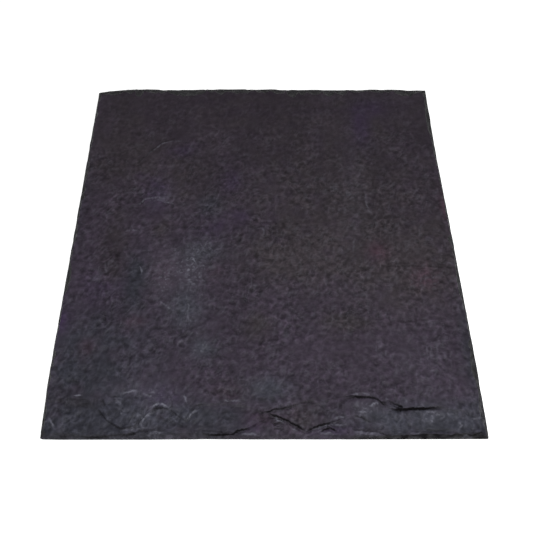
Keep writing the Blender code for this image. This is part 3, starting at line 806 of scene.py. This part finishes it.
def place_grid(shape, row, column):
    """Where each point of the top lies seen from above, before the corners are rounded, and the chips' arcs.

    The columns are spread between the left and right guide lines, and then the rows between the others.
    """
    flat_x = (column / column.max() - 0.5) * shape.width
    flat_y = between_guides(CELLS_ALONG, [np.full_like(flat_x, place) for place in flat_guides(shape)], row)

    left = along_points(DRESSED_LEFT, 1, flat_y) - shape.width / 2
    right = shape.width / 2 - along_points(DRESSED_RIGHT, 1, flat_y)
    left_reach, left_arc = bevel_chips("left", shape.reach_left, flat_y)
    right_reach, right_arc = bevel_chips("right", shape.reach_right, flat_y)
    calm = np.full_like(flat_x, shape.width / 2 - SIDE_CALM)
    side_guides = [left, left + left_reach, -calm, calm, right - right_reach, right]
    x = between_guides(CELLS_ACROSS, side_guides, column)

    front = along_points(DRESSED_FRONT, 1, x) - shape.depth / 2
    back = shape.depth / 2 - along_points(DRESSED_BACK, 1, x)
    front_reach, front_arc = bevel_chips("front", shape.reach_front, x)
    back_reach, back_arc = bevel_chips("back", shape.reach_back, x)
    bevel_top = front + front_reach
    calm_lines = [np.full_like(x, FRONT_CALM_LINE), np.full_like(x, shape.depth / 2 - BACK_CALM)]
    guides = [front, bevel_top, *ledge_guides(x, bevel_top), *calm_lines, back - back_reach, back]
    y = between_guides(CELLS_ALONG, guides, row)
    arcs = {"left": left_arc, "right": right_arc, "front": front_arc, "back": back_arc}
    return flat_x, flat_y, x, y, arcs


def line_masks(x, y):
    """How far each place is from the nearest cleft and the nearest pale line of bruises and painted
    highlights, and their strengths.

    The places are first shaken a little, each way by noise of its own, so that the lines come out ragged.
    """
    shaken = [LINE_RAGGED * layered_noise(x, y, LINE_RAGGED_LENGTH, seed) for seed in LINE_SEEDS]
    cleft_off, cleft_strength = nearest_line(DARK_LINES, x + shaken[0], y + shaken[1])
    bruise_off, bruise_strength = nearest_line(PALE_LINES, x + shaken[1], y + shaken[0])
    return {
        "cleft_off": cleft_off / MM,
        "cleft_strength": cleft_strength,
        "bruise_off": bruise_off / MM,
        "bruise_strength": bruise_strength,
    }


def line_relief(lines):
    """The height of the lines: a step down in front of a cleft that fades away, and a ridge along a pale
    line.

    The step is an ease over its riser, times e to the minus distance in front of it over the fade. The ridge
    is e to the minus square of the distance over its width.
    """
    off = lines["cleft_off"] * MM
    steps = ease(0.5 + off / CLEFT_RISER) * np.exp(-np.maximum(off, 0.0) / CLEFT_FADE)
    ridges = np.exp(-((lines["bruise_off"] * MM / BRUISE_WIDTH) ** 2))
    return BRUISE_HEIGHT * lines["bruise_strength"] * ridges - CLEFT_STEP * lines["cleft_strength"] * steps


def shade_in_ledges(x, row):
    """How dark the painted shade is in the risers of the upper and lower ledges, and where the upper riser
    is.
    """
    foot_row = start_of(CELLS_ALONG, "slope")
    lip_row = start_of(CELLS_ALONG, "front calm")
    low_foot_row = start_of(CELLS_ALONG, "lower riser")
    low_lip_row = start_of(CELLS_ALONG, "upper shelf")
    in_riser = (row > foot_row) & (row < lip_row)
    in_low_riser = (row >= low_foot_row) & (row < low_lip_row)
    upper = np.clip(UPPER_SHADE + UPPER_SHADE_GROWTH * along_points(HOLLOWED, 1, x) / MM, 0.0, 1.0)
    lower = np.clip(LOWER_SHADE + LOWER_SHADE_GROWTH * along_points(LOWER_LEDGE, 2, x) / MM, 0.0, 1.0)
    return np.maximum(upper * in_riser, lower * in_low_riser), in_riser


def top_surface(shape):
    """The top of the slab from rim to rim, as a grid of points, and the masks that the finish reads.

    The height is the face's, less the ledges' drops, and falls over each bevel to the rim. It falls as
    a power of the share of the way in, scooped out by each chip's arc, and is then cut into laminae.
    """
    columns = sum(CELLS_ACROSS.values())
    rows = sum(CELLS_ALONG.values())
    row, column = np.meshgrid(np.arange(rows + 1.0), np.arange(columns + 1.0), indexing="ij")
    flat_x, flat_y, x, y, arcs = place_grid(shape, row, column)

    lines = line_masks(x, y)
    fine, lips = fine_relief(x, y, shape)
    face = shape.thickness + riven_relief(x, y, shape) + fine - corner_chip(x, y, shape)
    face += line_relief(lines)
    face -= between_guides(CELLS_ALONG, drop_guides(x), row)

    columns_in = np.minimum(column, columns - column) / CELLS_ACROSS["left bevel"]
    rows_in = np.minimum(row, rows - row) / CELLS_ALONG["front bevel"]
    risen = np.clip(np.minimum(columns_in, rows_in), 0.0, 1.0)
    side_arc = np.where(column < columns / 2, arcs["left"], arcs["right"])
    end_arc = np.where(row < rows / 2, arcs["front"], arcs["back"])
    arc = np.where(columns_in < rows_in, side_arc, end_arc)
    rim = shape.rim_height + RIM_ROUGHNESS * gradient_noise(x, y, RIM_WAVE, RIM_SEED)
    z = rim + (face - rim) * (risen**BEVEL_CURVE - CHIP_SCOOP * arc * risen * (1.0 - risen))
    on_bevel = 1.0 - ease((risen - BEVEL_EDGE) / (1.0 - BEVEL_EDGE))
    z += on_bevel * (laminated(z, x, y) - z)
    z += on_bevel * risen * CRUMB_HEIGHT * layered_noise(x, y, CRUMB_LENGTH, CRUMB_SEED, octaves=2)

    at_front = (rows_in < columns_in) & (row < rows / 2)
    chipped = ease((x - DARK_FRONT_START) / DARK_FRONT_RUN) * at_front
    noise = layered_noise(x, DARK_FRONT_STRETCH * y, DARK_FRONT_LENGTH, DARK_FRONT_SEED, octaves=2)
    # Painted shade on the front bevel, growing darker towards the right.
    front_bevel_shade = DARK_FRONT_SHARE * on_bevel * chipped * ease(DARK_FRONT_MEAN + DARK_FRONT_CHANGE * noise)
    ledge_shade, in_riser = shade_in_ledges(x, row)
    coarse = np.clip(coarseness(x, y) / (1.0 + COARSENESS_CHANGE), 0.0, 1.0)
    masks = {name: patches(places, PATCH_SEEDS[name], x, y) for name, places in PATCHES.items()}
    plain_front = at_front * (1.0 - chipped)
    # The broken stone's colour, partly painted shade, on the bevels and in the upper ledge's riser.
    masks["broken"] = np.maximum(on_bevel * (1.0 - PLAIN_FRONT_SHARE * plain_front), RISER_BROKEN_AND_SHADE * in_riser)
    # Painted shade: darker in the ledges' risers and on the front bevel.
    masks["dust"] = np.maximum(front_bevel_shade, ledge_shade)
    # Pale wear in the cloud patches, and on the flakes' lips pale wear with painted highlight.
    masks["worn"] = np.clip(
        CLOUD_WEAR * masks["cloud"] + (coarse + masks["cloud"]) * EDGE_WEAR_AND_HIGHLIGHT * lips, 0.0, 1.0,
    )
    masks["cloud"] = masks["cloud"] ** CLOUD_CONTRAST
    # Painted light and shade: the higher parts of the fine relief are painted lighter and the lower parts
    # darker.
    masks["height"] = np.clip(0.5 + fine / RELIEF_SPAN, 0.0, 1.0)
    masks["coarse"] = coarse
    x, y = round_corners(x, y, shape)
    return np.stack([x, y, z], axis=2), masks | lines, (flat_x, flat_y)


def round_the_rim(grid):
    """The outermost points of a grid, once round, anticlockwise seen from above."""
    return np.concatenate([grid[0, :-1], grid[:-1, -1], grid[-1, :0:-1], grid[:0:-1, 0]])


def grid_faces(numbers):
    """Four-sided faces over a grid of point numbers, facing up where the grid runs right and back."""
    corners = [numbers[:-1, :-1], numbers[:-1, 1:], numbers[1:, 1:], numbers[1:, :-1]]
    return np.stack(corners, axis=-1).reshape(-1, 4)


def ring_faces(upper, lower):
    """Four-sided faces from one ring down to the next, facing outwards."""
    return np.stack([np.roll(upper, -1), upper, lower, np.roll(lower, -1)], axis=1)


def underside_height(x, y):
    """The riven underside: it touches the floor where the noise is lowest, and nowhere goes through it."""
    noise = layered_noise(x, y, UNDERSIDE_RELIEF_LENGTH, UNDERSIDE_SEED, octaves=4, gain=0.5)
    return np.maximum(UNDERSIDE_RELIEF * (UNDERSIDE_MEAN + noise), 0.0)


def slab_surface(shape):
    """Points, faces and masks of the closed stone: its top, its edge and its underside."""
    top, masks, (flat_x, flat_y) = top_surface(shape)
    middle = (top[..., :2].reshape(-1, 2).min(axis=0) + top[..., :2].reshape(-1, 2).max(axis=0)) / 2
    top[..., :2] -= middle
    top_numbers = np.arange(top.shape[0] * top.shape[1]).reshape(top.shape[:2])
    points = [top.reshape(-1, 3)]
    quads = [grid_faces(top_numbers)]
    count = top_numbers.size

    rim = round_the_rim(top)
    ring = round_the_rim(top_numbers)
    ragged = 1.0 + EDGE_RAGGED * layered_noise(rim[:, 0], rim[:, 1], CRUMB_LENGTH * 2, CRUMB_SEED)
    for set_back, height in EDGE_RINGS:
        lower = rim * (1.0 - set_back * ragged[:, None] / (shape.width / 2))
        lower[:, 2] = height * np.clip(ragged, *EDGE_HEIGHT_SHARES)
        numbers = count + np.arange(len(rim))
        quads.append(ring_faces(ring, numbers))
        points.append(lower)
        ring = numbers
        count += len(rim)

    inset = 1.0 - UNDERSIDE_SET_BACK / (shape.width / 2)
    under = np.stack([flat_x, flat_y], axis=2)
    for edge in (np.s_[0, :], np.s_[-1, :], np.s_[:, 0], np.s_[:, -1]):
        under[edge] = top[edge][:, :2]
    under = under[::UNDERSIDE_STEP, ::UNDERSIDE_STEP] * inset
    under = np.dstack([under, underside_height(under[..., 0], under[..., 1])])
    under_numbers = count + np.arange(under.shape[0] * under.shape[1]).reshape(under.shape[:2])
    points.append(under.reshape(-1, 3))
    quads.append(grid_faces(under_numbers)[:, ::-1])
    triangles = stitched(ring, round_the_rim(under_numbers))

    points = np.concatenate(points)
    points = np.clip(points, np.array(SOLID_LOW), np.array(SOLID_HIGH))
    extra = len(points) - top_numbers.size
    for name, value in masks.items():
        below = np.full(extra, EDGE_BROKEN_AND_SHADE if name == "broken" else 0.0)
        masks[name] = np.concatenate([value.reshape(-1).astype(float), below])
    return points, np.concatenate(quads), triangles, masks


def stitched(fine, coarse):
    """Triangles from a fine ring to a coarse one, facing down: each coarse edge meets four fine edges."""
    fine = np.append(fine, fine[0])
    first = coarse
    second = np.roll(coarse, -1)
    start = UNDERSIDE_STEP * np.arange(len(coarse))
    half = UNDERSIDE_STEP // 2
    made = [np.stack([fine[start + half], first, second], axis=1)]
    for step in range(UNDERSIDE_STEP):
        tip = first if step < half else second
        made.append(np.stack([fine[start + step + 1], fine[start + step], tip], axis=1))
    return np.concatenate(made)


# The finish


class Wiring:
    """The nodes of one material, laid out in rows in the order in which they are made."""

    def __init__(self, name):
        self.material = bpy.data.materials.new(name)
        self.material.use_nodes = True
        self.tree = self.material.node_tree
        self.sockets = self.tree.nodes["Principled BSDF"].inputs
        self.coordinates = self.node("ShaderNodeTexCoord").outputs["Object"]

    def node(self, kind, **settings):
        """A node of this kind, with its settings."""
        node = self.tree.nodes.new(kind)
        row, column = divmod(len(self.tree.nodes), NODES_IN_ROW)
        node.location = ((column - NODES_IN_ROW) * NODE_WIDTH, -row * NODE_HEIGHT)
        for name, value in settings.items():
            setattr(node, name, value)
        return node

    def feed(self, socket, value):
        """Give a socket the output of another node, or a value of its own."""
        if isinstance(value, bpy.types.NodeSocket):
            self.tree.links.new(value, socket)
        else:
            socket.default_value = value

    def mask(self, name):
        """One of the masks that the mesh carries."""
        return self.node("ShaderNodeAttribute", attribute_name=name).outputs["Fac"]

    def noise(self, scale, detail, roughness):
        """Noise over the object's own coordinates, with so many features a metre."""
        node = self.node("ShaderNodeTexNoise")
        self.feed(node.inputs["Vector"], self.coordinates)
        self.feed(node.inputs["Scale"], scale)
        self.feed(node.inputs["Detail"], detail)
        self.feed(node.inputs["Roughness"], roughness)
        return node.outputs["Fac"]

    def ranged(self, value, low, high, to_low, to_high, **settings):
        """A value stretched from one range to another, and held at the ends."""
        node = self.node("ShaderNodeMapRange", **settings)
        self.feed(node.inputs["Value"], value)
        self.feed(node.inputs["From Min"], low)
        self.feed(node.inputs["From Max"], high)
        self.feed(node.inputs["To Min"], to_low)
        self.feed(node.inputs["To Max"], to_high)
        return node.outputs["Result"]

    def maths(self, operation, first, second=0.0):
        """Two values added, multiplied or compared."""
        node = self.node("ShaderNodeMath", operation=operation)
        self.feed(node.inputs[0], first)
        self.feed(node.inputs[1], second)
        return node.outputs["Value"]

    def product(self, first, *others):
        """Values multiplied together."""
        for value in others:
            first = self.maths("MULTIPLY", first, value)
        return first

    def mixed(self, share, first, second):
        """Two colours mixed by a share of the second."""
        node = self.node("ShaderNodeMix", data_type="RGBA")
        self.feed(node.inputs[0], share)
        self.feed(node.inputs[6], first)
        self.feed(node.inputs[7], second)
        return node.outputs[2]

    def line_share(self, name):
        """How dark or pale a line is here: its strength along its middle, fading to none on either side."""
        ragged = self.ranged(self.noise(*LINE_NOISE), *LINE_NOISE_RANGE)
        off = self.maths("ABSOLUTE", self.maths("ADD", self.mask(name + "_off"), ragged))
        half_width = LINE_HALF_WIDTH / MM
        share = self.ranged(off, 0.0, half_width, 1.0, 0.0, interpolation_type="SMOOTHSTEP")
        return self.maths("MINIMUM", self.product(self.mask(name + "_strength"), share, LINE_STRENGTH), 1.0)


def patch_colour(wiring, finish):
    """The ground with each soft patch laid over it in turn, the painted shade over the back among them, and
    broken stone, partly painted shade, last.
    """
    colour = finish.ground[:]
    for name in ("blue", "violet", "brown", "red", "deep", "broken"):
        colour = wiring.mixed(wiring.mask(name), colour, getattr(finish, name)[:])
    return colour


def stone_shade(wiring, grain, coarse):
    """How light the stone is: broad clouds times mottle times thin ridges times painted light and shade from
    the relief's own height, lighter where it is high and darker where it is low.

    A ridge is where noise crosses its mean: the distance from the mean, turned over.
    """
    cloud = wiring.ranged(wiring.noise(*CLOUD_NOISE), *CLOUD_SHADE)
    mottle = wiring.ranged(wiring.product(wiring.maths("SUBTRACT", grain, 0.5), coarse), *GRAIN_SHADE)
    from_mean = wiring.maths("ABSOLUTE", wiring.maths("SUBTRACT", wiring.noise(*RIDGE_NOISE), 0.5))
    ridge = wiring.ranged(wiring.product(wiring.ranged(from_mean, *RIDGE_WIDTH), coarse), *RIDGE_SHADE)
    height = wiring.ranged(wiring.mask("height"), *HEIGHT_SHADE)
    return wiring.product(cloud, mottle, ridge, height)


def scales_and_flecks(wiring, coarse):
    """Thin scales, which are terraces of noise, and the pale flecks along their edges and in the cloud."""
    scales = wiring.product(wiring.noise(*SCALE_NOISE), SCALE_COUNT)
    riser = wiring.ranged(wiring.maths("FRACT", scales), *SCALE_RISER)
    steps = wiring.maths("ADD", wiring.maths("FLOOR", scales), riser)
    share = wiring.ranged(wiring.noise(*FLECK_NOISE), *FLECK_SHARE)
    flecks = wiring.product(wiring.maths("PINGPONG", riser, 0.5), share, coarse)
    dots = wiring.product(wiring.ranged(wiring.noise(*DOT_NOISE), *DOT_SHARE), wiring.mask("cloud"))
    return steps, wiring.maths("MAXIMUM", flecks, dots)


def slate_material(finish):
    """Slate: soft patches, mottle, flecks, lips and bruises painted pale as wear and highlight, clefts
    painted dark as shadow, a dull sheen and fine grain.
    """
    wiring = Wiring("riven_slate")
    worn = finish.worn[:]
    coarse = wiring.mask("coarse")
    grain = wiring.noise(*GRAIN_NOISE)
    steps, flecks = scales_and_flecks(wiring, coarse)
    bright = wiring.node("ShaderNodeHueSaturation")
    wiring.feed(bright.inputs["Color"], patch_colour(wiring, finish))
    wiring.feed(bright.inputs["Value"], stone_shade(wiring, grain, coarse))
    colour = wiring.mixed(flecks, bright.outputs["Color"], worn)
    colour = wiring.mixed(wiring.mask("worn"), colour, worn)
    # Pale lines, bruises and painted highlights, mixed towards the pale colour.
    broken_up = wiring.ranged(wiring.noise(*BRUISE_AND_HIGHLIGHT_NOISE), *BRUISE_AND_HIGHLIGHT_SHARE)
    colour = wiring.mixed(wiring.product(wiring.line_share("bruise"), broken_up), colour, worn)
    # Painted shadow along the clefts, with the painted shade of the ledges and the front bevel, mixed towards
    # the near-black colour.
    cleft = wiring.line_share("cleft")
    dark = wiring.maths("MAXIMUM", cleft, wiring.mask("dust"))
    wiring.feed(wiring.sockets["Base Color"], wiring.mixed(dark, colour, finish.cleft[:]))

    low, high, smoother, rougher = SHEEN_RANGE
    sheen = wiring.ranged(
        wiring.noise(*SHEEN_NOISE), low, high, finish.roughness + smoother, finish.roughness + rougher,
    )
    wiring.feed(wiring.sockets["Roughness"], wiring.maths("MAXIMUM", sheen, dark))
    wiring.feed(wiring.sockets["Specular IOR Level"], finish.sheen_level)

    height = wiring.maths("ADD", wiring.product(steps, BUMP_SCALES), grain)
    height = wiring.maths("SUBTRACT", height, wiring.product(cleft, BUMP_CLEFTS))
    bump = wiring.node("ShaderNodeBump")
    wiring.feed(bump.inputs["Strength"], coarse)
    wiring.feed(bump.inputs["Distance"], BUMP_HEIGHT)
    wiring.feed(bump.inputs["Height"], height)
    wiring.feed(wiring.sockets["Normal"], bump.outputs["Normal"])
    return wiring.material


def floor_material(colour):
    """A matt pale floor, very slightly uneven in shade."""
    wiring = Wiring("pale_floor")
    darker = [FLOOR_DARKENING * value for value in colour[:3]] + [1.0]
    wiring.feed(wiring.sockets["Base Color"], wiring.mixed(wiring.noise(*FLOOR_NOISE), colour[:], darker))
    wiring.feed(wiring.sockets["Roughness"], FLOOR_ROUGHNESS)
    wiring.feed(wiring.sockets["Specular IOR Level"], FLOOR_REFLECTION)
    return wiring.material


# Operators


class SLATE_OT_slab(bpy.types.Operator):
    """Make the riven slab and its slate"""

    bl_idname = "slate.make_slab"
    bl_label = "Make the slab"

    def execute(self, context):
        shape = context.scene.slab_shape
        points, quads, triangles, masks = slab_surface(shape)
        mesh = bpy.data.meshes.new("riven_slab")
        mesh.from_pydata(points.tolist(), [], quads.tolist() + triangles.tolist())
        for name, value in masks.items():
            layer = mesh.attributes.new(name, "FLOAT", "POINT")
            layer.data.foreach_set("value", value.astype(np.float32))
        mesh.shade_smooth()
        mesh.set_sharp_from_angle(angle=SHARP_ANGLE)
        mesh.materials.append(slate_material(context.scene.slate_finish))
        slab = bpy.data.objects.new("riven_slab", mesh)
        context.scene.collection.objects.link(slab)
        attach(slab, BODY)
        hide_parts(SOLID)
        return {"FINISHED"}


class SLATE_OT_stage(bpy.types.Operator):
    """Make the floor, the lights and the camera"""

    bl_idname = "slate.make_stage"
    bl_label = "Make the stage"

    def execute(self, context):
        scene = context.scene
        settings = scene.slate_stage
        corners = [(FLOOR_HALF * x, FLOOR_HALF * y, 0.0) for x, y in ((-1, -1), (1, -1), (1, 1), (-1, 1))]
        mesh = bpy.data.meshes.new("floor")
        mesh.from_pydata(corners, [], [(0, 1, 2, 3)])
        mesh.materials.append(floor_material(settings.floor_colour))
        floor = bpy.data.objects.new("floor", mesh)
        scene.collection.objects.link(floor)

        world = bpy.data.worlds.new("studio")
        world.use_nodes = True
        sky = world.node_tree.nodes["Background"]
        sky.inputs["Color"].default_value = settings.sky_colour
        sky.inputs["Strength"].default_value = settings.sky_strength
        scene.world = world

        for name in ("overhead", "key"):
            light = bpy.data.lights.new(name + "_box", "AREA")
            light.size = getattr(settings, name + "_size")
            light.energy = getattr(settings, name + "_power")
            soft_box = bpy.data.objects.new(name + "_box", light)
            soft_box.location = getattr(settings, name + "_place")
            soft_box.rotation_euler = (-soft_box.location).to_track_quat("-Z", "Y").to_euler()
            scene.collection.objects.link(soft_box)

        lens = bpy.data.cameras.new("camera")
        lens.lens = settings.camera_lens
        lens.sensor_width = SENSOR_WIDTH
        camera = bpy.data.objects.new("camera", lens)
        upright = Matrix.Rotation(math.pi / 2 - settings.camera_down, 4, "X")
        turned = Matrix.Rotation(-settings.camera_turn, 4, "Z")
        leaning = Matrix.Rotation(settings.camera_roll, 4, "Z")
        camera.matrix_world = Matrix.Translation(settings.camera_place) @ turned @ upright @ leaning
        scene.collection.objects.link(camera)
        scene.camera = camera
        scene.view_settings.view_transform = "Standard"
        return {"FINISHED"}


class SLATE_PT_panel(bpy.types.Panel):
    """The slab's sizes, colours and stage"""

    bl_idname = "SLATE_PT_panel"
    bl_label = "Riven slate slab"
    bl_space_type = "VIEW_3D"
    bl_region_type = "UI"
    bl_category = "Slate"

    def draw(self, context):
        for name, operator in (
            ("slab_shape", SLATE_OT_slab), ("slate_finish", None), ("slate_stage", SLATE_OT_stage),
        ):
            settings = getattr(context.scene, name)
            box = self.layout.box()
            for key in settings.__annotations__:
                box.prop(settings, key)
            if operator:
                box.operator(operator.bl_idname)


CLASSES = (SlabShape, SlateFinish, StageSettings, SLATE_OT_stage, SLATE_OT_slab, SLATE_PT_panel)


def register():
    for item in CLASSES:
        bpy.utils.register_class(item)
    bpy.types.Scene.slab_shape = bpy.props.PointerProperty(type=SlabShape)
    bpy.types.Scene.slate_finish = bpy.props.PointerProperty(type=SlateFinish)
    bpy.types.Scene.slate_stage = bpy.props.PointerProperty(type=StageSettings)


def unregister():
    del bpy.types.Scene.slate_stage
    del bpy.types.Scene.slate_finish
    del bpy.types.Scene.slab_shape
    for item in reversed(CLASSES):
        bpy.utils.unregister_class(item)


def main():
    register()
    bpy.ops.slate.make_stage()
    bpy.ops.slate.make_slab()


if __name__ == "__main__":
    main()
